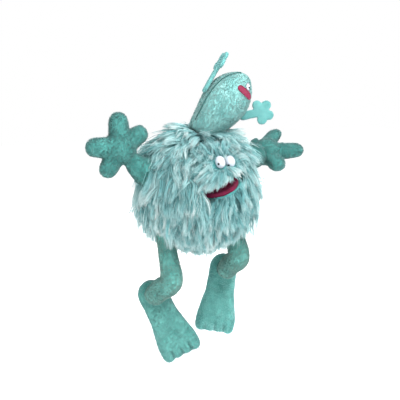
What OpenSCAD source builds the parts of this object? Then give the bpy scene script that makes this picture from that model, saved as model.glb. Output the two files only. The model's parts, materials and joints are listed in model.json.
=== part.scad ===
// Two-headed moving mouth puppet: a round long-furred creature with a hand sleeve
// in its back, a working mouth, plush arms and legs, and a small egg-shaped puppet
// leaning forward out of the top of its head.
// Units are millimetres, Z is up and the big creature looks along -Y.
// The origin is the middle of the round body, on the axis of the hand sleeve.

/* [Round body] */

// Half the width of the round body over its fur fabric
body_half_w = 98; // [90:1:110]
// Half the height of the round body over its fur fabric
body_half_h = 108; // [100:1:120]
// Thickness of the fur fabric
fur_t = 12; // [8:1:16]
// Inner radius of the sleeve the hand goes into
sleeve_r = 42; // [38:1:46]
// Distance from the middle of the body to the back end of the sleeve
sleeve_back = 88; // [80:1:96]
// Thickness of the sleeve lining
sleeve_t = 2; // [1:0.5:3]

/* [Mouth] */

// Distance of the mouth's fold in front of the middle of the body
fold_forward = 44; // [38:1:50]
// Height of the mouth's fold above the middle of the body
fold_up = 19; // [14:1:24]
// Sideways tilt of the mouth in degrees
mouth_tilt = 24; // [0:1:30]
// How far the mouth is turned to the creature's left, in degrees
mouth_yaw = 6; // [0:1:12]
// Half angle between the two palates at rest
half_open = 11; // [8:0.5:14]
// Radius of the rounded front of each palate
palate_r = 29; // [26:1:32]
// Radius of the padded lower lip
lip_r = 5; // [4:0.5:5.5]
// Radius of the muzzle about the mouth's fold
muzzle_r = 62; // [58:1:66]
// Radius of the brow and the chin about the mouth's fold
brow_r = 56; // [52:1:60]

/* [Eyes] */

// Radius of each eyeball
eye_r = 9.2; // [8:0.1:9.4]
// Radius of each pupil
pupil_r = 1.9; // [1.5:0.1:3]

/* [Limbs] */

// Radius of the plush arms
arm_r = 20; // [17:0.5:21]
// Radius of the plush legs
leg_r = 17.5; // [15:0.5:18]
// Thickness of the plush covers
plush_t = 1.8; // [1.2:0.1:2.5]
// Length of each foot from the ankle seam to the toes
foot_len = 118; // [100:1:122]
// Thickness of each foot
foot_t = 24; // [18:1:28]

/* [Small puppet] */

// How far the small puppet leans to its left, in degrees
small_lean = 37.8; // [30:0.1:42]
// How far the small puppet leans forward, in degrees
small_pitch = 11; // [5:1:15]
// Thickness of the small puppet's plush cover
small_t = 2.4; // [1.5:0.1:3]
// Inner radius of the small puppet's finger sleeve
finger_r = 9.5; // [8:0.5:11]

/* [Hidden] */

$fn = 48;
eps = 0.05;
core_w = body_half_w - fur_t;
core_h = body_half_h - fur_t;
fold = [0, -fold_forward, fold_up];
cut_r = 79;
cut_half_w = 43;
jaw_half_w = 38;
hollow_r = 36.5;
palate_c = 18;

// Pivots of the limbs: root end, then outer end.
r_shoulder = [-70, 2, 16];
r_wrist = [-107, 4, 41];
r_palm = [-139, 5, 73.5];
l_shoulder = [72, 0, 34];
l_wrist = [131, 0, 51];
l_palm = [155.6, 0, 63.3];
r_hip = [-60, -6, -62];
r_knee = [-66, -29, -147];
r_ankle = [-77, 12, -182];
l_hip = [60, -6, -46];
l_knee = [66, -29, -122];
l_ankle = [68, 12, -156];
small_base = [4.5, -12, 98];

// Heights and radii of the small puppet along its own axis.
egg = [[-8, 20], [0, 24.5], [14, 28], [26, 31], [37, 33.8], [48, 36], [60, 37],
       [72, 36.2], [82, 33.5], [90, 30], [97, 26], [104, 20.5], [110, 14],
       [114, 8], [116, 0.5]];
egg_top = 116;

// ---------- helpers ----------

// Puts children at p with their Z axis towards q and their X axis level.
module limb(p, q) {
    d = q - p;
    translate(p) rotate([0, acos(d[2] / norm(d)), atan2(d[1], d[0])])
        rotate([0, 0, 90]) children();
}

// Half of an ellipse as a closed outline for a turned solid.
module half_ellipse(w, h) {
    polygon([for (i = [0:24]) let (a = -90 + i * 7.5)
        [max(w * cos(a), 0), h * sin(a)]]);
}

// The room a limb of radius r needs as it swings from a0 to a1 about its X axis.
module fan(r, len, a0, a1, half_w) {
    far = sqrt(len * len + r * r);
    rotate([90, 0, 90]) linear_extrude(height = 2 * half_w, center = true) {
        circle(r);
        polygon(concat(
            [[r * cos(a0), r * sin(a0)]],
            [for (i = [0:6]) let (a = a0 - 20 + (a1 - a0 + 40) * i / 6)
                [-far * sin(a), far * cos(a)]],
            [[-r * cos(a1), -r * sin(a1)]]));
    }
}

// Frame of the mouth: X forwards from the fold, Y up, Z to the creature's right.
module mouth_frame() {
    translate(fold) rotate([0, 0, mouth_yaw]) rotate([0, -mouth_tilt, 0])
        rotate([90, 0, -90]) children();
}
module upper_frame() { mouth_frame() rotate([0, 0, half_open]) children(); }
module lower_frame() { mouth_frame() rotate([0, 0, -half_open]) children(); }

// Outline of a jaw piece, turned about the fold.
module jaw_outline(r, half_w) {
    polygon(concat([[0, -half_w]],
        [for (i = [1:15]) let (a = -90 + i * 11.25)
            [r * pow(cos(a), 0.5), half_w * sin(a)]],
        [[0, half_w]]));
}
module jaw_wedge(a0, a1, r, half_w) {
    rotate([0, 0, a0]) rotate_extrude(angle = a1 - a0) jaw_outline(r, half_w);
}

// D-shaped layer lying on the mouth's plane, from height y to y + t.
module d_layer(y, t, r) {
    translate([0, y + t, 0]) rotate([90, 0, 0]) linear_extrude(t) difference() {
        union() {
            translate([palate_c, 0]) circle(r);
            translate([5, -r]) square([palate_c - 5, 2 * r]);
        }
        translate([5 - 2 * r, -r - 1]) square([2 * r, 2 * r + 2]);
    }
}

// Pocket block on a jaw: forwards from x0 to x1, half width w, from height y0 to y1.
module block(x0, x1, w, y0, y1) {
    translate([x0, y0, -w]) cube([x1 - x0, y1 - y0, 2 * w]);
}

// ---------- cuts shared by the body ----------

module mouth_cut() {
    mouth_frame() {
        rotate([0, 0, -79]) rotate_extrude(angle = 158)
            translate([0, -cut_half_w]) square([cut_r, 2 * cut_half_w]);
        cylinder(r = hollow_r, h = 2 * cut_half_w + 3, center = true);
    }
}
module sleeve_cut(r) {
    translate([0, -30, 0]) rotate([-90, 0, 0]) cylinder(r = r, h = 150);
    translate([0, sleeve_back - 2, 0]) rotate([-90, 0, 0]) cylinder(r = r + 4.6, h = 40);
}
module limb_cuts() {
    limb(r_shoulder, r_wrist) fan(arm_r + 0.6, 62, -22, 42, arm_r + 0.6);
    limb(l_shoulder, l_wrist) fan(arm_r + 0.6, 62, -22, 42, arm_r + 0.6);
    limb(r_hip, r_knee) fan(leg_r + 0.6, 80, -31, 26, leg_r + 0.6);
    limb(l_hip, l_knee) fan(leg_r + 0.6, 80, -31, 26, leg_r + 0.6);
}
// The ball is cut flat under the small puppet, so that it can lean every way.
module collar_cut() {
    translate(small_base + [0, 0, -22]) cylinder(r = 150, h = 60);
    translate(small_base + [0, 0, -30]) cylinder(r = 32, h = 20);
}

// ---------- round body ----------

module fur_gore(a0) {
    difference() {
        rotate([0, 0, a0]) rotate_extrude(angle = 90) difference() {
            half_ellipse(body_half_w, body_half_h);
            half_ellipse(core_w, core_h);
        }
        mouth_cut();
        sleeve_cut(sleeve_r + sleeve_t + 0.4);
        limb_cuts();
        collar_cut();
    }
}
module fur_face_panel() { color("MediumAquamarine") fur_gore(-135); }
module fur_left_panel() { color("Aquamarine") fur_gore(-45); }
module fur_back_panel() { color("MediumAquamarine") fur_gore(45); }
module fur_right_panel() { color("Aquamarine") fur_gore(135); }

module body_filling() {
    color("White") difference() {
        rotate_extrude() half_ellipse(core_w, core_h);
        mouth_cut();
        sleeve_cut(sleeve_r + sleeve_t + 0.4);
        limb_cuts();
        collar_cut();
    }
}
module hand_sleeve() {
    color("Teal") translate([0, -8, 0]) rotate([-90, 0, 0]) difference() {
        cylinder(r = sleeve_r + sleeve_t, h = sleeve_back + 8);
        translate([0, 0, -1]) cylinder(r = sleeve_r, h = sleeve_back + 10);
    }
}
module sleeve_hem() {
    color("DarkCyan") translate([0, sleeve_back, 0]) rotate([-90, 0, 0]) difference() {
        cylinder(r = sleeve_r + 6, h = 10);
        translate([0, 0, -1]) cylinder(r = sleeve_r, h = 12);
    }
}
module mouth_fold() {
    color("MediumVioletRed") mouth_frame()
        cylinder(r = 3, h = 2 * cut_half_w, center = true);
}

// ---------- upper jaw ----------

pocket_up = 24;
pocket_half_w = 30;
pocket_x0 = 8;
pocket_x1 = 41;
thumb_half_w = 17;
thumb_x1 = 38;

module upper_pocket_block() {
    block(pocket_x0, pocket_x1, pocket_half_w, 4.5, pocket_up);
}
module muzzle() {
    color("PaleTurquoise") difference() {
        mouth_frame() jaw_wedge(13, 28, muzzle_r, jaw_half_w);
        upper_frame() block(-10, 90, 60, -60, 4.5);
        upper_frame() upper_pocket_block();
        eye_place(1) sphere(r = eye_r + 0.8);
        eye_place(-1) sphere(r = eye_r + 0.8);
    }
}
module brow() {
    color("Aquamarine") difference() {
        mouth_frame() jaw_wedge(28, 62, brow_r, jaw_half_w);
        mouth_frame() cylinder(r = 28, h = 200, center = true);
        upper_frame() upper_pocket_block();
        eye_place(1) sphere(r = eye_r + 0.8);
        eye_place(-1) sphere(r = eye_r + 0.8);
    }
}
module upper_mouth_board() { color("Tan") upper_frame() d_layer(2.5, 2, palate_r); }
module upper_palate() { color("MediumVioletRed") upper_frame() d_layer(0.5, 2, palate_r); }
module finger_pocket() {
    color("DarkCyan") difference() {
        upper_frame() difference() {
            upper_pocket_block();
            block(pocket_x0 - 1, pocket_x1 - 1.5, pocket_half_w - 1.5, 6, pocket_up - 1.5);
        }
        eye_place(1) sphere(r = eye_r + 0.3);
        eye_place(-1) sphere(r = eye_r + 0.3);
    }
}

// ---------- eyes: side 1 is the creature's left eye, -1 its right eye ----------

module eye_place(side) {
    translate(side > 0 ? [9.7, -88.3, 52] : [-9.7, -91, 53]) children();
}
module pupil_hole(side) {
    rotate([0, side > 0 ? 27 : 15.5, side > 0 ? -134 : -147])
        translate([eye_r - 2, 0, 0]) rotate([0, 90, 0]) cylinder(r = pupil_r, h = 2.4);
}
module eyeball(side) {
    color("White") difference() {
        eye_place(side) sphere(r = eye_r);
        eye_place(side) pupil_hole(side);
    }
}
module left_eye() { eyeball(1); }
module right_eye() { eyeball(-1); }
module left_pupil() { color("Black") eye_place(1) pupil_hole(1); }
module right_pupil() { color("Black") eye_place(-1) pupil_hole(-1); }

// ---------- lower jaw ----------

module lip_ring(r) {
    lower_frame() translate([0, -lip_r - 0.5, 0]) rotate([90, 0, 0]) {
        translate([palate_c, 0, 0]) rotate([0, 0, -90]) rotate_extrude(angle = 180)
            translate([palate_r, 0]) circle(r);
        for (s = [-1, 1]) translate([6, s * palate_r, 0]) rotate([0, 90, 0])
            cylinder(r = r, h = palate_c - 6);
    }
}
module thumb_block() { block(8, thumb_x1, thumb_half_w, -24.5, -4.5); }
module chin() {
    color("Aquamarine") difference() {
        mouth_frame() jaw_wedge(-52, -13, brow_r, jaw_half_w);
        lower_frame() block(-10, 90, 60, -4.5, 60);
        lower_frame() thumb_block();
        lip_ring(lip_r + 0.3);
    }
}
module lower_mouth_board() { color("Tan") lower_frame() d_layer(-4.5, 2, palate_r - 5.6); }
module lower_palate() {
    color("MediumVioletRed") lower_frame() d_layer(-2.5, 2, palate_r - 5.6);
}
module lower_lip() { color("DeepPink") lip_ring(lip_r); }
module thumb_pocket() {
    color("DarkCyan") difference() {
        lower_frame() difference() {
            thumb_block();
            block(7, thumb_x1 - 1.5, thumb_half_w - 1.5, -23, -6);
        }
        lip_ring(lip_r + 0.3);
    }
}

// ---------- arms ----------

// Arm of length len along Z with a ball at its root and a cup for the wrist.
module arm_solid(len, r) {
    difference() {
        rotate_extrude() polygon(concat(
            [for (i = [0:12]) let (a = -90 + i * 7.5) [r * cos(a), r * sin(a)]],
            [[r, len - 7], [0, len - 7]]));
        translate([0, 0, len]) sphere(r = 16.5 + (arm_r - r));
    }
}
module arm_cover(len) {
    difference() {
        arm_solid(len, arm_r);
        arm_solid(len, arm_r - plush_t);
        translate([0, 0, -arm_r - 1]) cylinder(r = 4, h = 8);
    }
}

// Rounded finger lying in the XZ plane, from the palm towards (x, z).
module finger(x, z, r) {
    len = sqrt(x * x + z * z);
    rotate([0, atan2(x, z), 0]) rotate_extrude() polygon(concat(
        [[0, 0]], [[r * 1.15, 0]], [[r, len - r]],
        [for (i = [1:6]) let (a = i * 15) [r * cos(a), len - r + r * sin(a)]]));
}
// Four-fingered hand: wrist ball at the origin, palm further up Z.
module hand_solid(palm, d) {
    sphere(r = 16 - d);
    cylinder(r = 11 - d, h = palm);
    translate([0, 0, palm]) {
        sphere(r = 23 - d);
        finger(37, 41, 12.5 - d);
        finger(-37, 41, 12.5 - d);
        finger(50, -12, 12 - d);
        finger(-50, -12, 12 - d);
    }
}
module hand_cover(palm) {
    difference() {
        hand_solid(palm, 0);
        hand_solid(palm, plush_t);
        translate([0, 0, -18]) cylinder(r = 4, h = 8);
    }
}
r_palm_d = norm(r_palm - r_wrist);
l_palm_d = norm(l_palm - l_wrist) + 8;
module r_arm_frame() { limb(r_shoulder, r_wrist) children(); }
module l_arm_frame() { limb(l_shoulder, l_wrist) children(); }
module r_hand_frame() { limb(r_wrist, r_palm) rotate([0, 0, 90]) children(); }
module l_hand_frame() { limb(l_wrist, l_palm) rotate([0, 0, 25]) children(); }

module right_arm_cover() {
    color("MediumAquamarine") r_arm_frame() arm_cover(norm(r_wrist - r_shoulder));
}
module right_arm_filling() {
    color("White") r_arm_frame()
        arm_solid(norm(r_wrist - r_shoulder), arm_r - plush_t);
}
module left_arm_cover() {
    color("MediumAquamarine") l_arm_frame() arm_cover(norm(l_wrist - l_shoulder));
}
module left_arm_filling() {
    color("White") l_arm_frame()
        arm_solid(norm(l_wrist - l_shoulder), arm_r - plush_t);
}
module right_hand_cover() {
    color("MediumAquamarine") r_hand_frame() hand_cover(r_palm_d);
}
module right_hand_filling() {
    color("White") r_hand_frame() hand_solid(r_palm_d, plush_t);
}
module left_hand_cover() {
    color("MediumAquamarine") l_hand_frame() hand_cover(l_palm_d);
}
module left_hand_filling() {
    color("White") l_hand_frame() hand_solid(l_palm_d, plush_t);
}

// ---------- legs ----------

// Thigh of length len along Z with a ball at both ends.
module thigh_solid(len, r) {
    rotate_extrude() polygon(concat(
        [for (i = [0:12]) let (a = -90 + i * 7.5) [r * cos(a), r * sin(a)]],
        [for (i = [0:12]) let (a = i * 7.5) [r * cos(a), len + r * sin(a)]]));
}
// Shin from the knee ball to the ankle ball, with a narrow neck at each end.
module shin_solid(len, d) {
    r = leg_r - 1 - d;
    ball = 14.5 - d;
    rotate_extrude() polygon(concat(
        [[0, leg_r + 0.6 + d], [7 - d, leg_r + 0.6 + d], [r, leg_r + 12],
         [r, len - 15], [ball * 0.75, len - 8]],
        [for (i = [0:12]) let (a = -15 + i * 8.75)
            [max(ball * cos(a), 0), len + ball * sin(a)]]));
}
// Foot outline: the ankle is at the origin, a little beside the foot's middle line.
foot_shift = -5;
toe_gap = 16.7;
module foot_outline(d) {
    toe_r = 10;
    translate([foot_shift, 0]) {
        translate([0, 2]) circle(24 - d);
        polygon([[24 - d, 2], [-24 + d, 2], [-26 + d, -foot_len * 0.35],
                 [-35 + d, -foot_len * 0.75], [-35 + d, -foot_len + toe_r],
                 [35 - d, -foot_len + toe_r], [35 - d, -foot_len * 0.75],
                 [26 - d, -foot_len * 0.35]]);
        for (i = [0:3]) translate([(i - 1.5) * toe_gap, -foot_len + toe_r])
            circle(toe_r - d);
    }
}
module foot_solid(d) {
    difference() {
        translate([0, 0, -10 - foot_t + d]) linear_extrude(foot_t - 2 * d)
            foot_outline(d);
        sphere(r = 15.2 + d);
    }
}
module foot_cover() {
    difference() {
        foot_solid(0);
        foot_solid(plush_t);
        translate([0, -foot_len * 0.5, -12 - foot_t]) cylinder(r = 5, h = 8);
    }
}
module tube_cover(len) {
    difference() {
        thigh_solid(len, leg_r);
        thigh_solid(len, leg_r - plush_t);
        translate([0, 0, -leg_r - 1]) cylinder(r = 4, h = 8);
    }
}
module shin_cover(len) {
    difference() {
        shin_solid(len, 0);
        shin_solid(len, plush_t);
        translate([0, 0, leg_r]) cylinder(r = 3, h = 8);
    }
}
module r_foot_frame() { translate(r_ankle) rotate([80, 0, -30]) rotate([0, 0, 28]) children(); }
module l_foot_frame() { translate(l_ankle) rotate([80, 0, -30]) rotate([0, 0, -9]) children(); }

module right_thigh_cover() {
    color("MediumAquamarine") limb(r_hip, r_knee) tube_cover(norm(r_knee - r_hip));
}
module right_thigh_filling() {
    color("White") limb(r_hip, r_knee)
        thigh_solid(norm(r_knee - r_hip), leg_r - plush_t);
}
module right_shin_cover() {
    color("MediumAquamarine") limb(r_knee, r_ankle)
        shin_cover(norm(r_ankle - r_knee));
}
module right_shin_filling() {
    color("White") limb(r_knee, r_ankle) shin_solid(norm(r_ankle - r_knee), plush_t);
}
module right_foot_cover() { color("Turquoise") r_foot_frame() foot_cover(); }
module right_foot_filling() { color("White") r_foot_frame() foot_solid(plush_t); }
module left_thigh_cover() {
    color("MediumAquamarine") limb(l_hip, l_knee) tube_cover(norm(l_knee - l_hip));
}
module left_thigh_filling() {
    color("White") limb(l_hip, l_knee)
        thigh_solid(norm(l_knee - l_hip), leg_r - plush_t);
}
module left_shin_cover() {
    color("MediumAquamarine") limb(l_knee, l_ankle)
        shin_cover(norm(l_ankle - l_knee));
}
module left_shin_filling() {
    color("White") limb(l_knee, l_ankle) shin_solid(norm(l_ankle - l_knee), plush_t);
}
module left_foot_cover() { color("Turquoise") l_foot_frame() foot_cover(); }
module left_foot_filling() { color("White") l_foot_frame() foot_solid(plush_t); }

// ---------- small puppet: Z up its own axis, it looks along its own -Y ----------

module small_frame() {
    translate(small_base) rotate([0, small_lean, 0]) rotate([small_pitch, 0, 0])
        children();
}
// Outline of the small puppet, set in by d, between two heights.
module egg_outline(d, s0, s1) {
    intersection() {
        polygon(concat([[0, egg[0][0] + d]],
            [for (p = egg) [max(p[1] - d, 0.2), min(p[0], egg_top - d)]],
            [[0, egg_top - d]]));
        translate([0, s0]) square([80, s1 - s0]);
    }
}
module small_collar() {
    color("MediumAquamarine") translate(small_base - [0, 0, 29]) difference() {
        cylinder(r = 30, h = 8);
        translate([0, 0, -1]) cylinder(r = 16, h = 10);
    }
}
module finger_cut(r) {
    translate([0, -10, 58]) rotate([-90, 0, 0]) cylinder(r = r, h = 70);
}
module small_half(a0) {
    difference() {
        rotate([0, 0, a0]) rotate_extrude(angle = 180) difference() {
            egg_outline(0, 6, 130);
            egg_outline(small_t, 5, 130);
        }
        finger_cut(finger_r + 1.2);
    }
}
module small_front_cover() { color("PaleTurquoise") small_frame() small_half(180); }
module small_back_cover() { color("Turquoise") small_frame() small_half(0); }
module small_filling() {
    color("White") small_frame() difference() {
        union() {
            rotate_extrude() egg_outline(small_t, 6, 130);
            sphere(r = 20);
        }
        finger_cut(finger_r + 1.2);
    }
}
module small_finger_sleeve() {
    color("DarkCyan") small_frame() translate([0, -10, 58]) rotate([-90, 0, 0])
        difference() {
            cylinder(r = finger_r + 1.2, h = 48);
            translate([0, 0, 1.2]) cylinder(r = finger_r, h = 48);
        }
}
// Stitched mouth: a band on the front of the face.
module small_mouth_patch() {
    color("MediumVioletRed") small_frame() rotate([0, 0, -122])
        rotate_extrude(angle = 64)
        polygon([[32.2, 85], [34.2, 85.6], [32.2, 92.8], [29.2, 93.2]]);
}
// Place on the face, with X along the outward normal.
module small_eye_place() {
    small_frame() rotate([0, 0, -88]) translate([24.4, 0, 101])
        rotate([0, -40, 0]) rotate([0, 90, 0]) children();
}
module small_eye() {
    color("White") small_eye_place() difference() {
        cylinder(r = 5.5, h = 2);
        translate([2, 1.5, 1]) cylinder(r = 2, h = 2);
    }
}
module small_pupil() {
    color("Black") small_eye_place() translate([2, 1.5, 1]) cylinder(r = 2, h = 1.4);
}

// Flat four-lobed hand on a strip, root at the origin, strip along +X.
module small_arm_outline(len) {
    translate([0.8, -6.8]) square([len - 0.8, 13.6]);
    translate([0.8, 0]) circle(6.5);
    translate([len, 0]) {
        circle(12);
        for (a = [112, 42, -38, -100]) rotate([0, 0, a]) translate([13.5, 0])
            circle(7.8);
    }
}
small_l_root = [76, -21.4, 118.7];
small_r_root = [4.3, -20, 165.8];
module small_left_arm() {
    color("MediumAquamarine") translate(small_l_root) rotate([80, 0, -30])
        rotate([0, 0, 13]) linear_extrude(5, center = true) small_arm_outline(34);
}
module small_right_arm() {
    color("MediumAquamarine") translate(small_r_root) rotate([80, 0, -30])
        rotate([0, 0, 60]) rotate([-75, 0, 0]) linear_extrude(5, center = true)
        small_arm_outline(50);
}

// ---------- output ----------

fur_face_panel();
fur_left_panel();
fur_right_panel();
fur_back_panel();
body_filling();
hand_sleeve();
sleeve_hem();
mouth_fold();
muzzle();
brow();
upper_mouth_board();
upper_palate();
finger_pocket();
left_eye();
right_eye();
left_pupil();
right_pupil();
chin();
lower_mouth_board();
lower_palate();
lower_lip();
thumb_pocket();
right_arm_cover();
right_arm_filling();
right_hand_cover();
right_hand_filling();
left_arm_cover();
left_arm_filling();
left_hand_cover();
left_hand_filling();
right_thigh_cover();
right_thigh_filling();
right_shin_cover();
right_shin_filling();
right_foot_cover();
right_foot_filling();
left_thigh_cover();
left_thigh_filling();
left_shin_cover();
left_shin_filling();
left_foot_cover();
left_foot_filling();
small_collar();
small_front_cover();
small_back_cover();
small_filling();
small_finger_sleeve();
small_mouth_patch();
small_eye();
small_pupil();
small_left_arm();
small_right_arm();
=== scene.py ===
import json
import math

import bmesh
import bpy
import numpy as np
from mathutils import Matrix, Vector
from mathutils.bvhtree import BVHTree
from mathutils.kdtree import KDTree


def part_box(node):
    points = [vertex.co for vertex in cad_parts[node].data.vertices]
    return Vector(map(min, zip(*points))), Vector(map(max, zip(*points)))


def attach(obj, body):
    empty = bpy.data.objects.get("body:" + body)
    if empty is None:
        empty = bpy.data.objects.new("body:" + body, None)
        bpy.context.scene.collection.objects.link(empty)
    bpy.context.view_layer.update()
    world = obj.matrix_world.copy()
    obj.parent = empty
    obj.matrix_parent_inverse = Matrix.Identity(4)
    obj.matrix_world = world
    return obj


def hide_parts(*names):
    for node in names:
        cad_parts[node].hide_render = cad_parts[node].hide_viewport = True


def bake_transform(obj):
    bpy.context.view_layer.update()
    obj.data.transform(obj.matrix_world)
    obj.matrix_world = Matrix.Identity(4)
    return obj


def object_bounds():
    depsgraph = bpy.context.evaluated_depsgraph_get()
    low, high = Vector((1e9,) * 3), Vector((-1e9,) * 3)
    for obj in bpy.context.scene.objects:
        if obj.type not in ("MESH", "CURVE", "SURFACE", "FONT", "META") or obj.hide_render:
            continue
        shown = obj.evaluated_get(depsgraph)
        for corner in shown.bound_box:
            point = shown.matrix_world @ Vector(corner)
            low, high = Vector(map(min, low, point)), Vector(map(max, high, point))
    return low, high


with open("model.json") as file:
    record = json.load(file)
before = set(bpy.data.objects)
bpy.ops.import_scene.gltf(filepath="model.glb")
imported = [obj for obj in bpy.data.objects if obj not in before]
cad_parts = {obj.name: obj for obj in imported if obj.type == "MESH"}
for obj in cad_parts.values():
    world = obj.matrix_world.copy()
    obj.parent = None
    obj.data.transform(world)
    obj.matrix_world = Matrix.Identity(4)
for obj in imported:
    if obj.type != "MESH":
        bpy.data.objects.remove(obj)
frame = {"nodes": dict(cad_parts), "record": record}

CAD_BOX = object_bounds()
MM = 0.001
NODES = frame["nodes"]
RECORD = frame["record"]
JOINTS = {j["name"]: j for j in RECORD["behaviour"]["joints"]}


# ---------- places, in millimetres, read from the frame ----------

def pivot(name):
    return np.array(JOINTS[name]["pos_m"], float) / MM


def axis_of(name):
    return unit(np.array(JOINTS[name]["axis"], float))


def centre(node):
    lo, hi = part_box(node)
    return np.array((lo + hi) / 2) / MM


def unit(v):
    v = np.asarray(v, float)
    return v / np.maximum(np.linalg.norm(v, axis=-1, keepdims=True), 1e-9)


def metres(p):
    return tuple(float(c) * MM for c in p)


# Half sizes of the round body's cloth, which lies inside the pile that CAD makes solid.
BALL_WIDE, BALL_TOP, BALL_LOW = 91.0, 101.0, 93.0
SHRINK_WIDE, SHRINK_LOW = 0.93, 0.86
SLEEVE_ROOM = 44.6
FOLD = pivot("upper_jaw")
ACROSS = axis_of("upper_jaw")         # along the fold, to the creature's left
SKY = np.array([0.0, 0.0, 1.0])
AHEAD = unit(np.cross(ACROSS, SKY))
JAW_UP = unit(np.cross(AHEAD, ACROSS))
JAW_UP = JAW_UP * np.sign(JAW_UP[2])
SMALL_BASE = pivot("small_lean")
SMALL_LEAN, SMALL_PITCH = math.radians(37.8), math.radians(11)
SMALL_TURN = Matrix.Rotation(SMALL_LEAN, 3, "Y") @ Matrix.Rotation(SMALL_PITCH, 3, "X")
SMALL_X, SMALL_Y, SMALL_Z = (np.array(SMALL_TURN.col[i]) for i in range(3))

# Heights and radii of the small puppet along its own axis.
EGG = np.array([[-8, 20], [0, 24.5], [14, 28], [26, 31], [37, 33.8], [48, 36],
                [60, 37], [72, 36.2], [82, 33.5], [90, 30], [97, 26], [104, 20.5],
                [110, 14], [114, 8], [116, 0.5]], float)

# The small puppet's mouth: height on its axis, then where it starts and its span in degrees.
SMALL_MOUTH, SMALL_MOUTH_FROM, SMALL_MOUTH_SPAN = 89, -113, 64

# Degrees about the fold, and distance to each side of it, that the open mouth keeps clear.
MOUTH_LOW, MOUTH_HIGH = -19, 8
MOUTH_RIGHT, MOUTH_LEFT = -30, 37

# The camera looks along these axes: right, up and back towards the viewer.
VIEW_TURN, VIEW_LIFT = math.radians(-30), math.radians(10)
RIGHT = np.array([math.cos(VIEW_TURN), math.sin(VIEW_TURN), 0])
BACK = np.array([math.sin(VIEW_TURN) * math.cos(VIEW_LIFT),
                 -math.cos(VIEW_TURN) * math.cos(VIEW_LIFT), math.sin(VIEW_LIFT)])
UP = np.cross(BACK, RIGHT)


# ---------- materials ----------

def colour(r, g, b):
    """Linear colour of a display colour given from 0 to 255."""
    return tuple((c / 255) ** 2.2 for c in (r, g, b)) + (1.0,)


def node_material(name):
    m = bpy.data.materials.new(name)
    m.use_nodes = True
    return m, m.node_tree.nodes, m.node_tree.links, m.node_tree.nodes["Principled BSDF"]


def noise(nodes, links, place, scale, detail=3.0, distortion=0.0):
    n = nodes.new("ShaderNodeTexNoise")
    n.inputs["Scale"].default_value = scale
    n.inputs["Detail"].default_value = detail
    n.inputs["Distortion"].default_value = distortion
    links.new(place, n.inputs["Vector"])
    return n.outputs["Fac"]


def ramp(nodes, links, value, stops):
    r = nodes.new("ShaderNodeValToRGB")
    while len(r.color_ramp.elements) < len(stops):
        r.color_ramp.elements.new(0.5)
    for element, (at, shade) in zip(r.color_ramp.elements, stops):
        element.position = at
        element.color = shade
    links.new(value, r.inputs["Fac"])
    return r.outputs["Color"]


def fabric(name, dark, light, patch, grain, bump, rough=0.85, sheen=0.25, weave=0.0):
    """Cloth or plush: soft patches of shade, a fine grain and a small bump."""
    m, nodes, links, shader = node_material(name)
    place = nodes.new("ShaderNodeTexCoord").outputs["Object"]
    broad = noise(nodes, links, place, patch, 2.0, 0.6)
    fine = noise(nodes, links, place, grain, 4.0)
    mix = nodes.new("ShaderNodeMath")
    mix.operation = "MULTIPLY_ADD"
    mix.inputs[1].default_value = 0.45
    links.new(fine, mix.inputs[0])
    half = nodes.new("ShaderNodeMath")
    half.operation = "MULTIPLY"
    half.inputs[1].default_value = 0.55
    links.new(broad, half.inputs[0])
    links.new(half.outputs[0], mix.inputs[2])
    links.new(ramp(nodes, links, mix.outputs[0], [(0.36, dark), (0.62, light)]),
              shader.inputs["Base Color"])
    height = fine
    if weave:
        w = nodes.new("ShaderNodeTexWave")
        w.inputs["Scale"].default_value = weave
        w.inputs["Distortion"].default_value = 1.2
        links.new(place, w.inputs["Vector"])
        height = w.outputs["Fac"]
    b = nodes.new("ShaderNodeBump")
    b.inputs["Strength"].default_value = bump
    b.inputs["Distance"].default_value = 0.001
    links.new(height, b.inputs["Height"])
    links.new(b.outputs["Normal"], shader.inputs["Normal"])
    shader.inputs["Roughness"].default_value = rough
    shader.inputs["Sheen Weight"].default_value = sheen
    shader.inputs["Sheen Roughness"].default_value = 0.4
    return m


def pile(name, stops, patch, rough=0.5, patchy=0.5):
    """Long or short pile: painted shade at the root rising to a painted highlight at the tip, and
    tone that differs at random from lock to lock.
    """
    m, nodes, links, shader = node_material(name)
    place = nodes.new("ShaderNodeTexCoord").outputs["Object"]
    tone_and_painted_light = nodes.new("ShaderNodeAttribute")
    tone_and_painted_light.attribute_name = "tone_and_painted_light"
    broad = noise(nodes, links, place, patch, 2.0, 0.4)
    spread = nodes.new("ShaderNodeMath")
    spread.operation = "MULTIPLY_ADD"
    spread.inputs[1].default_value = patchy
    spread.inputs[2].default_value = -patchy / 2
    links.new(broad, spread.inputs[0])
    both = nodes.new("ShaderNodeMath")
    both.operation = "ADD"
    links.new(spread.outputs[0], both.inputs[0])
    links.new(tone_and_painted_light.outputs["Fac"], both.inputs[1])
    links.new(ramp(nodes, links, both.outputs[0], stops), shader.inputs["Base Color"])
    shader.inputs["Roughness"].default_value = rough
    shader.inputs["Specular IOR Level"].default_value = 0.35
    shader.inputs["Sheen Weight"].default_value = 0.3
    return m


def nap_pile(name, dark, middle, light, patch=40):
    # Nap colours run from painted shade at the root to a painted highlight at the tip.
    stops = [(0.0, colour(*dark)), (0.5, colour(*middle)), (1.0, colour(*light))]
    return pile(name, stops, patch, 0.6, 0.9)


def glossy(name, dark, light, scale, rough):
    m, nodes, links, shader = node_material(name)
    place = nodes.new("ShaderNodeTexCoord").outputs["Object"]
    mottle = noise(nodes, links, place, scale, 2.0)
    links.new(ramp(nodes, links, mottle, [(0.3, dark), (0.7, light)]),
              shader.inputs["Base Color"])
    shader.inputs["Roughness"].default_value = rough
    shader.inputs["Coat Weight"].default_value = 0.4
    return m


# The long pile's ramp runs from painted shade at the roots to a painted highlight at the tips;
# random tone from lock to lock moves along it.
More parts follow.
